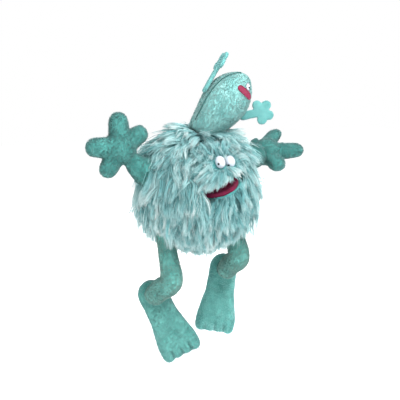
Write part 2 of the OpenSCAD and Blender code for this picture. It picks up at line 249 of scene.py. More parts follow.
FUR = pile("long_pile", [(0.0, colour(53, 115, 118)), (0.32, colour(103, 169, 172)),
                         (0.6, colour(158, 206, 207)), (1.0, colour(220, 234, 233))], 60)
MINT = nap_pile("mint_nap", (83, 142, 142), (126, 172, 170), (169, 195, 193), 45)
ARM_NAP = nap_pile("arm_nap", (32, 88, 86), (55, 114, 112), (91, 146, 144))
LEG_NAP = nap_pile("leg_nap", (53, 102, 95), (89, 136, 128), (138, 169, 160))
FOOT_NAP = nap_pile("foot_nap", (57, 125, 122), (98, 162, 160), (145, 196, 194))
# The far foot's nap: the foot nap's colours lightened, painted light lifting the shade that falls
# on the far foot.
FAR_FOOT_NAP_PAINTED_LIGHT = nap_pile("far_nap_painted_light", (79, 158, 156), (125, 198, 196), (175, 229, 227))
FELT_NAP = nap_pile("felt_nap", (83, 153, 153), (115, 182, 182), (151, 203, 204))
MATERIALS = {
    # The backing cloth under the long pile, in the dark shadow green that shows deep in the coat:
    # partly the cloth, partly painted shade.
    "fur": fabric("fur_backing_painted_shade", colour(50, 112, 112), colour(84, 156, 156), 60, 900, 0.6),
    "plush": fabric("leg_plush", colour(58, 126, 120), colour(104, 176, 168), 45, 1400, 0.7),
    "small_plush": fabric("mint_plush", colour(96, 168, 166), colour(156, 214, 210),
                          40, 1400, 0.6),
    "filling": fabric("filling", colour(54, 116, 116), colour(86, 152, 152), 80, 600, 0.5),
    "lining": fabric("lining", colour(48, 120, 116), colour(84, 158, 152), 60, 1500, 0.5,
                     0.8, 0.15, 700),
    "mouth": fabric("mouth_velour", colour(78, 0, 34), colour(140, 8, 70), 50, 1600, 0.5,
                    0.8, 0.05),
    "board": fabric("board", colour(96, 70, 44), colour(140, 110, 76), 90, 700, 0.4),
    # Eye whites: white plastic given a grey-blue colour, painted shade standing in for the shade
    # on the eyes.
    "eye_white": glossy("eye_white", colour(186, 194, 206), colour(212, 217, 226), 90, 0.22),
    "pupil": glossy("pupil", colour(6, 6, 8), colour(18, 18, 22), 300, 0.12),
    "stitching": fabric("thread", colour(22, 70, 68), colour(46, 104, 100), 200, 1800, 0.4),
}
ARM_PLUSH = fabric("arm_plush", colour(40, 104, 100), colour(76, 150, 144), 45, 1400, 0.7)
FELT = fabric("felt", colour(84, 158, 156), colour(126, 196, 192), 50, 1400, 0.6)
SATIN = fabric("satin_thread", colour(98, 0, 42), colour(144, 6, 70), 120, 2000, 0.4,
               0.5, 0.05)
RIM = fabric("eye_rim", colour(96, 108, 112), colour(140, 150, 154), 200, 1800, 0.3)


# ---------- meshes ----------

def add(name, verts, faces, body, slot, material=None, smooth=True):
    """A new piece from vertices in millimetres, riding on a body."""
    mesh = bpy.data.meshes.new(name)
    mesh.from_pydata((np.asarray(verts) * MM).tolist(), [], faces)
    mesh.polygons.foreach_set("use_smooth", [smooth] * len(mesh.polygons))
    mesh.update()
    piece = bpy.data.objects.new(name, mesh)
    bpy.context.scene.collection.objects.link(piece)
    finish_piece(piece, body, slot, material)
    return piece


def finish_piece(piece, body, slot, material=None):
    piece.data.materials.clear()
    piece.data.materials.append(material or MATERIALS[slot])
    if body:
        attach(piece, body)


def apply_modifiers(piece):
    graph = bpy.context.evaluated_depsgraph_get()
    graph.update()
    old = piece.data
    new = bpy.data.meshes.new_from_object(piece.evaluated_get(graph))
    piece.modifiers.clear()
    piece.data = new
    bpy.data.meshes.remove(old)


def coords(piece):
    co = np.empty(len(piece.data.vertices) * 3)
    piece.data.vertices.foreach_get("co", co)
    return co.reshape(-1, 3) / MM


def set_coords(piece, co):
    piece.data.vertices.foreach_set("co", (co * MM).ravel())
    piece.data.update()


def cad_union(name, nodes, voxel, smoothing=6):
    """One closed mesh around the union of some CAD nodes, rounded off."""
    verts, faces = [], []
    for node in nodes:
        mesh = NODES[node].data
        base = len(verts)
        verts += [tuple(v.co) for v in mesh.vertices]
        faces += [tuple(i + base for i in p.vertices) for p in mesh.polygons]
    mesh = bpy.data.meshes.new(name)
    mesh.from_pydata(verts, [], faces)
    piece = bpy.data.objects.new(name, mesh)
    bpy.context.scene.collection.objects.link(piece)
    remesh = piece.modifiers.new("Remesh", "REMESH")
    remesh.mode = "VOXEL"
    remesh.voxel_size = voxel * MM
    if smoothing:
        soft = piece.modifiers.new("Soft", "SMOOTH")
        soft.iterations = smoothing
        soft.factor = 0.5
    apply_modifiers(piece)
    piece.data.polygons.foreach_set("use_smooth", [True] * len(piece.data.polygons))
    return piece


def puff(piece, cap, pressure=4.0):
    """Cloth pressure swells the piece, no point moving further than cap."""
    before = coords(piece)
    cloth = piece.modifiers.new("Cloth", "CLOTH")
    cloth.settings.use_pressure = True
    cloth.settings.uniform_pressure_force = pressure
    cloth.settings.effector_weights.gravity = 0
    for step in range(1, 19):
        bpy.context.scene.frame_set(step)
    apply_modifiers(piece)
    bpy.context.scene.frame_set(1)
    moved = coords(piece) - before
    far = np.linalg.norm(moved, axis=1, keepdims=True)
    set_coords(piece, before + moved * np.minimum(1, cap / np.maximum(far, 1e-6)))


def subdivide(piece, levels=1):
    mod = piece.modifiers.new("Sub", "SUBSURF")
    mod.levels = levels
    mod.render_levels = levels
    apply_modifiers(piece)


def tube(points, radii, sides=12, closed=False, cap=True):
    """Vertices and faces of a round tube through points, as arrays and lists."""
    p = np.asarray(points, float)
    n = len(p)
    radii = np.broadcast_to(np.asarray(radii, float), n)
    if closed:
        tangent = unit(np.roll(p, -1, 0) - np.roll(p, 1, 0))
    else:
        tangent = unit(np.gradient(p, axis=0))
    side = np.zeros_like(p)
    start = np.cross(tangent[0], [0.3, 0.2, 0.9])
    side[0] = unit(start)
    for i in range(1, n):
        s = side[i - 1] - tangent[i] * np.dot(side[i - 1], tangent[i])
        side[i] = unit(s)
    other = np.cross(tangent, side)
    angle = np.arange(sides) * 2 * math.pi / sides
    ring = (np.cos(angle)[None, :, None] * side[:, None]
            + np.sin(angle)[None, :, None] * other[:, None])
    verts = (p[:, None] + ring * radii[:, None, None]).reshape(-1, 3)
    faces = []
    for i in range(n if closed else n - 1):
        a, b = i * sides, ((i + 1) % n) * sides
        faces += [(a + k, a + (k + 1) % sides, b + (k + 1) % sides, b + k)
                  for k in range(sides)]
    if not closed and cap:
        faces.append(tuple(range(sides))[::-1])
        faces.append(tuple((n - 1) * sides + k for k in range(sides)))
    return verts, faces


def merged(parts):
    verts, faces = [], []
    base = 0
    for v, f in parts:
        verts.append(v)
        faces += [tuple(i + base for i in face) for face in f]
        base += len(v)
    return np.concatenate(verts), faces


def spline(points, count):
    """Points evenly spread along a smooth curve through the given ones."""
    p = np.asarray(points, float)
    p = np.vstack([2 * p[0] - p[1], p, 2 * p[-1] - p[-2]])
    out = []
    for i in range(1, len(p) - 2):
        for t in np.linspace(0, 1, 24, endpoint=False):
            a, b, c, d = p[i - 1], p[i], p[i + 1], p[i + 2]
            out.append(0.5 * (2 * b + (c - a) * t + (2 * a - 5 * b + 4 * c - d) * t * t
                              + (3 * b - a - 3 * c + d) * t ** 3))
    out.append(p[-2])
    out = np.array(out)
    run = np.concatenate([[0], np.cumsum(np.linalg.norm(np.diff(out[:, :3], axis=0), axis=1))])
    at = np.linspace(0, run[-1], count)
    return np.stack([np.interp(at, run, out[:, k]) for k in range(out.shape[1])], 1)


def stitches(path, length, gap, radius, lift=0.0):
    """Short threads lying end to end along a path."""
    p = np.asarray(path, float)
    run = np.concatenate([[0], np.cumsum(np.linalg.norm(np.diff(p, axis=0), axis=1))])
    parts = []
    at = gap
    while at + length < run[-1]:
        ts = np.linspace(at, at + length, 5)
        q = np.stack([np.interp(ts, run, p[:, k]) for k in range(3)], 1)
        parts.append(tube(q, radius * np.array([0.35, 0.9, 1.0, 0.9, 0.35]), 6))
        at += length + gap
    return merged(parts)


# ---------- pile ----------

def samples(piece, count, rng, keep=None):
    """Random points on a mesh with their outward normals."""
    mesh = piece.data
    mesh.calc_loop_triangles()
    tri = np.empty(len(mesh.loop_triangles) * 3, int)
    mesh.loop_triangles.foreach_get("vertices", tri)
    co = coords(piece)
    a, b, c = (co[tri.reshape(-1, 3)[:, k]] for k in range(3))
    normal = np.cross(b - a, c - a)
    area = np.linalg.norm(normal, axis=1)
    normal = unit(normal)
    if keep is not None:
        area = area * keep((a + b + c) / 3, normal)
    pick = rng.choice(len(area), count, p=area / area.sum())
    u, v = rng.random((2, count, 1))
    flip = (u + v) > 1
    u, v = np.where(flip, 1 - u, u), np.where(flip, 1 - v, v)
    return a[pick] + (b[pick] - a[pick]) * u + (c[pick] - a[pick]) * v, normal[pick]


def strands(name, curves, radii, tone_and_painted_light, body, slot, material):
    """Closed three-sided tapering strands along curves of shape (n, k, 3)."""
    n, k = curves.shape[:2]
    tangent = unit(np.gradient(curves, axis=1))
    rng = np.random.default_rng(len(name) * 7 + n)
    ref = unit(rng.normal(size=(n, 1, 3)))
    side = unit(np.cross(tangent, ref))
    other = np.cross(tangent, side)
    rings = []
    for angle in (0, 2.0944, 4.1888):
        rings.append(curves + (side * math.cos(angle) + other * math.sin(angle))
                     * radii[..., None])
    ring = np.stack(rings, 2)[:, :-1].reshape(n, -1, 3)
    verts = np.concatenate([ring, curves[:, -1:]], 1)
    per = verts.shape[1]
    local = [(2, 1, 0)]
    for i in range(k - 2):
        for j in range(3):
            q = (j + 1) % 3
            local.append((3 * i + j, 3 * i + q, 3 * i + 3 + q, 3 * i + 3 + j))
    last = 3 * (k - 2)
    local += [(last + j, last + (j + 1) % 3, per - 1) for j in range(3)]
    faces = []
    for f in local:
        faces += (np.arange(n)[:, None] * per + np.array(f)).tolist()
    piece = add(name, verts.reshape(-1, 3), faces, body, slot, material)
    shade = np.concatenate([np.repeat(tone_and_painted_light[:, :-1], 3, axis=1), tone_and_painted_light[:, -1:]], 1)
    piece.data.attributes.new("tone_and_painted_light", "FLOAT", "POINT").data.foreach_set(
        "value", shade.ravel())
    return piece


def smooth01(x, lo, hi):
    t = np.clip((x - lo) / (hi - lo), 0, 1)
    return t * t * (3 - 2 * t)


def ball_axes(p):
    tall = np.where(p[..., 2] > 0, BALL_TOP, BALL_LOW)
    return np.stack([np.full_like(tall, BALL_WIDE), np.full_like(tall, BALL_WIDE), tall], -1)


def out_of_ball(p, clear):
    level = np.linalg.norm(p / (ball_axes(p) + clear[..., None]), axis=-1, keepdims=True)
    return np.where(level < 1, p / np.maximum(level, 1e-6), p)


def out_of_capsule(p, a, b, radius):
    along = b - a
    t = np.clip(((p - a) @ along) / (along @ along), 0, 1)[..., None]
    near = a + t * along
    off = p - near
    far = np.linalg.norm(off, axis=-1, keepdims=True)
    return np.where(far < radius, near + off / np.maximum(far, 1e-6) * radius, p)


def out_of_egg(p, clear):
    rel = p - SMALL_BASE
    s = rel @ SMALL_Z
    off = rel - s[..., None] * SMALL_Z
    far = np.linalg.norm(off, axis=-1)
    room = np.interp(s, EGG[:, 0], EGG[:, 1], left=0, right=0) + clear
    inside = (far < room) & (s > -8)
    pushed = SMALL_BASE + s[..., None] * SMALL_Z + unit(off) * room[..., None]
    return np.where(inside[..., None], pushed, p)


LIMBS = [(pivot("right_shoulder"), pivot("right_wrist"), 20.5),
         (pivot("left_shoulder"), pivot("left_wrist"), 20.5),
         (pivot("right_hip"), pivot("right_knee"), 18.0),
         (pivot("left_hip"), pivot("left_knee"), 18.0)]
EYES = {side: centre(side + "_eye") for side in ("left", "right")}
GAZE = unit(AHEAD + 0.45 * SKY)


def shared_noise(p, seed, size):
    """A smooth random direction at each point, the same for near points."""
    rng = np.random.default_rng(seed)
    out = np.zeros_like(p)
    for _ in range(6):
        k = rng.normal(size=3) * 2 * math.pi / size
        out += unit(rng.normal(size=3)) * np.sin(p @ k + rng.random() * 6.28)[..., None]
    return out / 6


def comb(p, n):
    """Which way the long pile lies at a root."""
    down = unit(np.array([0, 0, -1.0]) - n * (-n[:, 2:3]))
    away = p - SMALL_BASE
    away[:, 2] = 0
    top = smooth01(p[:, 2], 62, 98)[:, None]
    way = down * (1 - top) + unit(away) * top
    left = smooth01(p[:, 0], 10, 60) * smooth01(p[:, 2], 10, 60)
    way = way + left[:, None] * np.array([0.5, -0.1, 0.1])
    face = smooth01(-p[:, 1], 40, 70) * smooth01(p[:, 2], 55, 75)
    way = way + (face * np.sign(p[:, 0]))[:, None] * np.array([0.5, 0, 0])
    way = way + shared_noise(p, 5, 80) * 1.1
    return unit(way - n * np.sum(way * n, -1, keepdims=True))


def grow(p, n, way, length, lift, droop, wave, steps, clear, solids=True):
    """Curves of shape (n, steps + 1, 3) growing from roots under their own weight."""
    curl = np.cross(n, way)
    heading = unit(way * np.cos(lift)[:, None] + n * np.sin(lift)[:, None])
    pts = [p]
    for i in range(steps):
        t = (i + 1) / steps
        swing = wave[:, 0] * np.cos(2 * math.pi * (wave[:, 1] * t + wave[:, 2]))
        heading = unit(heading + np.array([0, 0, -1.0]) * (droop / steps)[:, None]
                       + curl * (swing / steps)[:, None])
        q = pts[-1] + heading * (length / steps)[:, None]
        if solids:
            q = out_of_ball(q, clear * t)
            for a, b, r in LIMBS:
                q = out_of_capsule(q, a, b, r)
            q = out_of_egg(q, 1.0 + clear * 0.1)
        pts.append(q)
    return np.stack(pts, 1)


def cut_at(curves, blocked):
    """Shortens each curve so that it ends before the first blocked point."""
    n, k = curves.shape[:2]
    bad = blocked(curves)
    first = np.where(bad.any(1), bad.argmax(1), k)
    share = np.clip((first - 0.5) / (k - 1), 0, 1)
    t = np.linspace(0, 1, k)[None] * share[:, None] * (k - 1)
    lo = np.clip(t.astype(int), 0, k - 2)
    f = (t - lo)[..., None]
    rows = np.arange(n)[:, None]
    return curves[rows, lo] * (1 - f) + curves[rows, lo + 1] * f, share > 0.2


def jaw_polar(p):
    rel = p - FOLD
    return (np.degrees(np.arctan2(rel @ JAW_UP, rel @ AHEAD)),
            np.hypot(rel @ JAW_UP, rel @ AHEAD), rel @ ACROSS)


def over_face(p):
    """True where pile would hide an eye or the open mouth."""
    hidden = np.zeros(p.shape[:-1], bool)
    for eye in EYES.values():
        rel = p - (eye - 2.5 * SKY)
        along = rel @ GAZE
        off = rel - along[..., None] * GAZE
        hidden |= (along > -6) & (np.linalg.norm(off * np.array([1, 1, 0.85]), axis=-1) < 9.6)
    angle, far, side = jaw_polar(p)
    mouth = (far > 22) & (angle > MOUTH_LOW) & (angle < MOUTH_HIGH)
    mouth &= (side > MOUTH_RIGHT) & (side < MOUTH_LEFT)
    return hidden | mouth


def pressed(y):
    """Lays pile flatter where it would stand out too far in front or behind."""
    front, back = -116.0, 109.0
    y = np.where(y < front, front + (y - front) * 0.25, y)
    return np.where(y > back, back + (y - back) * 0.25, y)


def locks(name, roots, normals, body, rng, spacing, length, lift, droop=0.5, clear=8.0,
          way=None, thick=0.5, gather=0.8, wave=1.9, blocked=over_face, steps=6,
          shade=0.0, solids=True):
    """A coat of wavy pointed locks over the given roots."""
    count = max(int(len(roots) / spacing), 3)
    chosen = rng.choice(len(roots), count, replace=False)
    tree = KDTree(count)
    for i, c in enumerate(chosen):
        tree.insert(Vector(roots[c]), i)
    tree.balance()
    lock = np.array([tree.find(Vector(r))[1] for r in roots])
    # Every lock has its own length, lean, lift and wave.
    way = comb(roots, normals) if way is None else way
    twist = rng.normal(size=(count, 3)) * 0.22
    way = unit(way + twist[lock])
    way = unit(way - normals * np.sum(way * normals, -1, keepdims=True))
    length = np.broadcast_to(np.asarray(length, float), len(roots))
    long = length[chosen] * (1 + 0.2 * rng.normal(size=count).clip(-1.6, 1.6))
    raised = np.radians(lift + 9 * rng.normal(size=count))
    waves = np.stack([wave * (0.5 + rng.random(count)), 0.7 + 0.6 * rng.random(count),
                      rng.random(count)], 1)
    room = clear * (0.25 + rng.random(count))
    each = len(roots)
    own_long = long[lock] * (0.86 + 0.24 * rng.random(each))
    own_wave = waves[lock] + rng.normal(size=(each, 3)) * np.array([0.25, 0.05, 0.03])
    drop = np.full(each, droop)
    own = grow(roots, normals, way, own_long, raised[lock] + 0.12 * rng.normal(size=each),
               drop, own_wave, steps, room[lock] * (0.8 + 0.4 * rng.random(each)), solids)
    guide = grow(roots[chosen], normals[chosen], way[chosen], long, raised,
                 np.full(count, droop), waves, steps, room, solids)
    t = np.linspace(0, 1, steps + 1)
    pull = (gather * t ** 1.3)[None, :, None]
    loose = (rng.random((each, 1, 1)) < 0.93)
    own = own + (guide[lock] - own) * pull * loose
    keep = np.ones(each, bool)
    if blocked is not None:
        own, keep = cut_at(own, blocked)
    own, lock, t_row = own[keep], lock[keep], t[None]
    own[..., 1] = pressed(own[..., 1])
    girth = thick * (0.75 + 0.5 * rng.random((len(own), 1)))
    radii = girth * np.interp(t, [0, 0.5, 0.8, 1], [0.9, 1.0, 0.7, 0.2])[None]
    # Tone rises from painted shade at the root to a painted highlight at the tip; shade lifts a
    # whole coat lighter, which is painted light; the rest differs at random from lock to lock and
    # strand to strand.
    tone_and_painted_light = (0.14 + 0.5 * t_row + shade + 0.16 * rng.normal(size=count)[lock][:, None]
            + 0.06 * rng.normal(size=(len(own), 1)))
    return strands(name, own, radii, tone_and_painted_light, body, "fur", FUR)


def nap(name, piece, count, length, thick, body, slot, material, rng, lean=(0, 0, -1.0),
        keep=None):
    """Short pile standing on a plush piece, brushed the way lean points."""
    p, n = samples(piece, count, rng, keep)
    way = unit(n * 0.8 + np.array(lean) * 0.5 + shared_noise(p, 9, 30)
               + rng.normal(size=p.shape) * 0.25)
    long = length * (0.7 + 0.6 * rng.random((count, 1)))
    curves = np.stack([p - n * 0.3, p + way * long * 0.55,
                       p + way * long + np.array(lean) * long * 0.2], 1)
    radii = np.tile(thick * np.array([1.0, 0.8, 0.2]), (count, 1))
    # Tone rises from painted shade at the root to a painted highlight at the tip, and differs at
    # random from tuft to tuft.
    tone_and_painted_light = (np.array([0.35, 0.5, 0.7])[None] + 0.12 * rng.normal(size=(count, 1)))
    return strands(name, curves, radii, tone_and_painted_light, body, slot, material)


# ---------- carried-over CAD nodes ----------

def dress(node, slot, material=None):
    mesh_object = NODES[node]
    if not mesh_object.data.materials:
        mesh_object.data.materials.append(None)
    for i in range(len(mesh_object.material_slots)):
        mesh_object.material_slots[i].link = "OBJECT"
        mesh_object.material_slots[i].material = material or MATERIALS[slot]


def dress_nodes():
    for node in ("hand_sleeve", "finger_pocket", "thumb_pocket", "small_finger_sleeve"):
        dress(node, "lining")
    for node in ("upper_palate", "mouth_fold"):
        dress(node, "mouth")
    for node in ("upper_mouth_board", "lower_mouth_board"):
        dress(node, "board")
    dress("body_filling", "filling")


# ---------- round body ----------

def outward(p, n):
    level = np.linalg.norm(p / ball_axes(p), axis=1)
    facing = np.sum(n * unit(p / ball_axes(p) ** 2), 1)
    return (level > 0.93) & (facing > 0.55)


def draw_in(piece):
    """Pulls the cloth of the round body in from the outside of its pile."""
    co = coords(piece)
    co[:, :2] *= SHRINK_WIDE
    co[:, 2] = np.where(co[:, 2] < 0, co[:, 2] * SHRINK_LOW, co[:, 2])
    off = np.hypot(co[:, 0], co[:, 2])
    near = (co[:, 1] > -12) & (off < SLEEVE_ROOM)
    grow_by = np.where(near, SLEEVE_ROOM / np.maximum(off, 1e-6), 1)
    co[:, 0] *= grow_by
    co[:, 2] *= grow_by
    set_coords(piece, co)


def build_body_fur():
    rng = np.random.default_rng(11)
    core = cad_union("body_core", ["body_filling"], 5.0, 3)
    draw_in(core)
    finish_piece(core, "body", "filling")
    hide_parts("body_filling")
    for side in ("face", "left", "right", "back"):
        backing = cad_union(f"{side}_backing", [f"fur_{side}_panel"], 4.5, 3)
        draw_in(backing)
        finish_piece(backing, "body", "fur")
        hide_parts(f"fur_{side}_panel")
        # Two layers: short pile that hides the cloth, then long thin locks over it; the long
        # locks are lifted a little lighter, leaving painted shade on the short pile beneath.
        p, n = samples(backing, 5400, rng, outward)
        low = smooth01(-p[:, 2], 10, 80)
        locks(f"{side}_under_pile", p - n, n, "body", rng, 12, 34 - 8 * low, 24, 0.7, 5.0)
        p, n = samples(backing, 5800, rng, outward)
        low = smooth01(-p[:, 2], 10, 80)
        locks(f"{side}_pile", p - n, n, "body", rng, 20, 54 - 24 * low, 15, 0.9, 7.0,
              thick=0.42, gather=0.72, shade=0.06)


def build_crown():
    """Fur that closes the top of the ball round the small puppet."""
    rng = np.random.default_rng(12)
    rings, turns = 9, 48
    radii = np.linspace(17, 60, rings)
    verts = []
    for layer in (0.0, -4.0):
        for r in radii:
            for k in range(turns):
                a = 2 * math.pi * k / turns
                x = SMALL_BASE[0] + r * math.cos(a)
                y = SMALL_BASE[1] + r * math.sin(a)
                inside = max(1 - (x / BALL_WIDE) ** 2 - (y / BALL_WIDE) ** 2, 0.02)
                z = BALL_TOP * math.sqrt(inside) - 3 - 3 * math.exp(-((r - 17) / 9) ** 2)
                verts.append((x, y, z + layer))
    faces = []
    half = rings * turns
    for i in range(rings - 1):
        for k in range(turns):
            a, b = i * turns + k, i * turns + (k + 1) % turns
            faces.append((a, a + turns, b + turns, b))
            faces.append((half + b, half + b + turns, half + a + turns, half + a))
    for k in range(turns):
        a, b = k, (k + 1) % turns
        faces.append((a, b, half + b, half + a))
        a, b = a + (rings - 1) * turns, b + (rings - 1) * turns
        faces.append((b, a, half + a, half + b))
    crown = add("crown_backing", verts, faces, "small_base", "fur")
    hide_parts("small_collar")
    p, n = samples(crown, 5200, rng, lambda q, m: m[:, 2] > 0.4)
    away = p - SMALL_BASE
    away[:, 2] = 0
    way = unit(unit(away) + shared_noise(p, 21, 40) * 0.9)
    # Painted light: the crown locks are lifted lighter to fill the shadow round the small
    # puppet's base.
    locks("crown_pile", p, n, "small_base", rng, 16, 42, 28, 0.7, 6.0, way=way, thick=0.45,
          shade=0.06)


# ---------- face ----------

def build_face():
    rng = np.random.default_rng(13)
    dome = cad_union("muzzle_dome", ["muzzle", "brow"], 3.5, 14)
    finish_piece(dome, "upper_jaw", "fur")
    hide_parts("muzzle", "brow")

    def front(p, n):
        angle, far, _ = jaw_polar(p)
        return (far > 32) & (n @ AHEAD > -0.4) & (angle > 10)

    p, n = samples(dome, 8600, rng, front)
    middle = (EYES["left"] + EYES["right"]) / 2 - 2 * SKY + 2 * AHEAD
    fan = p - middle
    way = unit(unit(fan) + np.array([0, 0, -0.45]))
    low = p[:, 2] < middle[2] + 3
    # Painted highlight: the muzzle's locks are lifted lighter than the cheeks behind them.
    locks("muzzle_pile", p[low], n[low], "upper_jaw", rng, 22, 28, 7, 0.5, 3.0,
          way=way[low], thick=0.4, gather=0.5, wave=0.9, shade=0.1,
          blocked=over_muzzle, solids=False)
    up = ~low
    locks("brow_pile", p[up], n[up], "upper_jaw", rng, 14, 30, 18, 0.3, 4.0,
          way=unit(way[up] * 0.7 + np.array([0, 0.5, 1.0])), thick=0.48, gather=0.7,
          blocked=over_eyes, solids=False)

    chin = cad_union("chin_backing", ["chin"], 3.5, 6)
    finish_piece(chin, "lower_jaw", "fur")
    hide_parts("chin")

    def below(p, n):
        angle, far, _ = jaw_polar(p)
        return (far > 30) & (angle < -17) & (n[:, 2] < 0.5)

    p, n = samples(chin, 3600, rng, below)
    way = unit(np.array([0, 0, -1.0]) + shared_noise(p, 31, 30) * 0.6
               + (p[:, 0:1] / 60) * np.array([[0.5, 0, 0]]))
    way = unit(way - n * np.sum(way * n, -1, keepdims=True))
    locks("chin_pile", p, n, "lower_jaw", rng, 18, 38, 15, 0.8, 5.0, way=way, thick=0.45,
          gather=0.7)


def over_eyes(p):
    hidden = np.zeros(p.shape[:-1], bool)
    for eye in EYES.values():
        rel = p - (eye - 1.0 * SKY)
        along = rel @ GAZE
        off = rel - along[..., None] * GAZE
        hidden |= (along > -9) & (np.linalg.norm(off, axis=-1) < 9.3)
    return hidden


def over_muzzle(p):
    """True inside an eye, or too far down over the mouth."""
    angle, far, side = jaw_polar(p)
    hang = 4.0 + 3.5 * np.sin(side * 0.9) + 2.5 * np.sin(side * 2.3 + 1)
    return over_eyes(p + 2.5 * SKY) | ((angle < 10 - hang) & (far > 20))


def build_eyes():
    for side, name in ((1, "left"), (-1, "right")):
        c = EYES[name]
        rings, turns = 20, 32
        verts, faces = [], []
        out = GAZE
        level = unit(np.cross(SKY, out))
        level = level * np.sign(level[0])
        lift = unit(SKY - out * (SKY @ out))
        lean = side * math.radians(7)
        wide = 8.5 if side > 0 else 7.2
        level, lift = (level * math.cos(lean) - lift * math.sin(lean),
                       lift * math.cos(lean) + level * math.sin(lean))
        for i in range(rings + 1):
            a = math.pi * i / rings
            for k in range(turns):
                b = 2 * math.pi * k / turns
                s = math.sin(a)
                local = (wide * s * math.cos(b), 10.4 * s * math.sin(b), 9.0 * math.cos(a))
                verts.append(c + level * local[0] + lift * local[1] + out * local[2])
        for i in range(rings):
            for k in range(turns):
                q = (k + 1) % turns
                faces.append((i * turns + k, (i + 1) * turns + k,
                              (i + 1) * turns + q, i * turns + q))
        eye = add(f"{name}_eyeball", verts, faces, "upper_jaw", "eye_white")
        clean(eye)
        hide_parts(f"{name}_eye")
        build_pupil(name, eye)


def clean(piece):
    """Merges doubled points and turns every face outwards."""
    bm = bmesh.new()
    bm.from_mesh(piece.data)
    bmesh.ops.remove_doubles(bm, verts=bm.verts, dist=1e-6)
    bmesh.ops.dissolve_degenerate(bm, edges=bm.edges, dist=1e-7)
    bmesh.ops.recalc_face_normals(bm, faces=bm.faces)
    bm.to_mesh(piece.data)
    bm.free()
    piece.data.update()


def build_pupil(name, eye):
    tree = surface(eye)
    c = centre(f"{name}_pupil")
    where, normal = nearest(tree, c + unit(c - EYES[name]) * 3)
    verts, faces = dome(where, normal, 2.0, 1.3, 20)
    pupil = add(f"{name}_pupil_dome", verts, faces, "upper_jaw", "pupil")
    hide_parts(f"{name}_pupil")


def dome(where, normal, radius, height, turns):
    """A low round button standing on a surface, closed underneath."""
    a = unit(np.cross(normal, [0.2, 0.1, 1.0]))
    b = np.cross(normal, a)
    rows = [(1.0, -0.5), (1.0, 0.1), (0.92, 0.45), (0.7, 0.75), (0.4, 0.94), (0.12, 1.0)]
    verts, faces = [], []
    for r, h in rows:
        for k in range(turns):
            t = 2 * math.pi * k / turns
            verts.append(where + (a * math.cos(t) + b * math.sin(t)) * r * radius
                         + normal * h * height)
    for i in range(len(rows) - 1):
        for k in range(turns):
            q = (k + 1) % turns
            faces.append((i * turns + k, i * turns + q, (i + 1) * turns + q,
                          (i + 1) * turns + k))
    faces.append(tuple(range(turns))[::-1])
    faces.append(tuple((len(rows) - 1) * turns + k for k in range(turns)))
    return verts, faces


def surface(piece):
    return BVHTree.FromPolygons([v.co for v in piece.data.vertices],
                                [tuple(p.vertices) for p in piece.data.polygons])


def nearest(tree, p):
    hit = tree.find_nearest(Vector(metres(p)))
    return np.array(hit[0]) / MM, np.array(hit[1])


def build_mouth():
    lower = cad_union("lower_mouth", ["lower_palate", "lower_lip", "lower_mouth_board"], 1.6, 4)
    finish_piece(lower, "lower_jaw", "mouth")
    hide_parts("lower_palate", "lower_lip", "lower_mouth_board")


# ---------- limbs ----------

def build_arm(side):
    arm, hand = f"{side}_arm", f"{side}_hand"
    rng = np.random.default_rng(len(side) + 40)
    plush = cad_union(f"{side}_arm_plush",
                      [f"{arm}_cover", f"{arm}_filling", f"{hand}_cover", f"{hand}_filling"],
                      3.5, 10)
    if side == "left":
        draw_hand_in(plush)
    puff(plush, 2.0)
    subdivide(plush)
    inflate(plush, 2.8 if side == "right" else 1.0)
    rumple(plush, 0.8, 22, len(side))
    finish_piece(plush, None, "plush", ARM_PLUSH)
    fur = nap(f"{side}_arm_nap", plush, 15000, 2.2, 0.3, None, "plush", ARM_NAP, rng,
              tuple(unit(pivot(f"{side}_wrist") - pivot(f"{side}_shoulder")) * 0.8))
    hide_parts(f"{arm}_cover", f"{arm}_filling", f"{hand}_cover", f"{hand}_filling")
    for piece in (plush, fur):
        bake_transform(piece)


def draw_hand_in(piece):
    """The left hand folds back on its arm, with its inner finger tucked in."""
    shoulder, wrist = pivot("left_shoulder"), pivot("left_wrist")
    along = unit(wrist - shoulder)
    co = coords(piece)
    part = smooth01((co - wrist) @ along, -4, 22)[:, None]
    shift = RIGHT * -19 - UP * 16
    aside, high = ((co - centre("left_hand_filling")) @ v for v in (RIGHT, UP))
    # Inner finger tucked in, outer one longer, upper one leaning outwards.
    slide = (np.maximum(-aside - 14, 0) * 0.6 + np.maximum(aside - 14, 0) * 0.3
             + np.maximum(high - 12, 0) * 0.55)
    co = co + shift * part + RIGHT * (slide[:, None] * part)
    set_coords(piece, co)


def inflate(piece, amount):
    co = coords(piece)
    n = np.empty(len(co) * 3)
    piece.data.vertices.foreach_get("normal", n)
    set_coords(piece, co + n.reshape(-1, 3) * amount)


def rumple(piece, depth, size, seed):
    """Gentle hollows and swellings over a stuffed piece."""
    co = coords(piece)
    n = np.empty(len(co) * 3)
    piece.data.vertices.foreach_get("normal", n)
    wave = shared_noise(co, seed, size)[:, 0] + 0.6 * shared_noise(co, seed + 1, size / 2.2)[:, 1]
    set_coords(piece, co + n.reshape(-1, 3) * (depth * wave)[:, None])


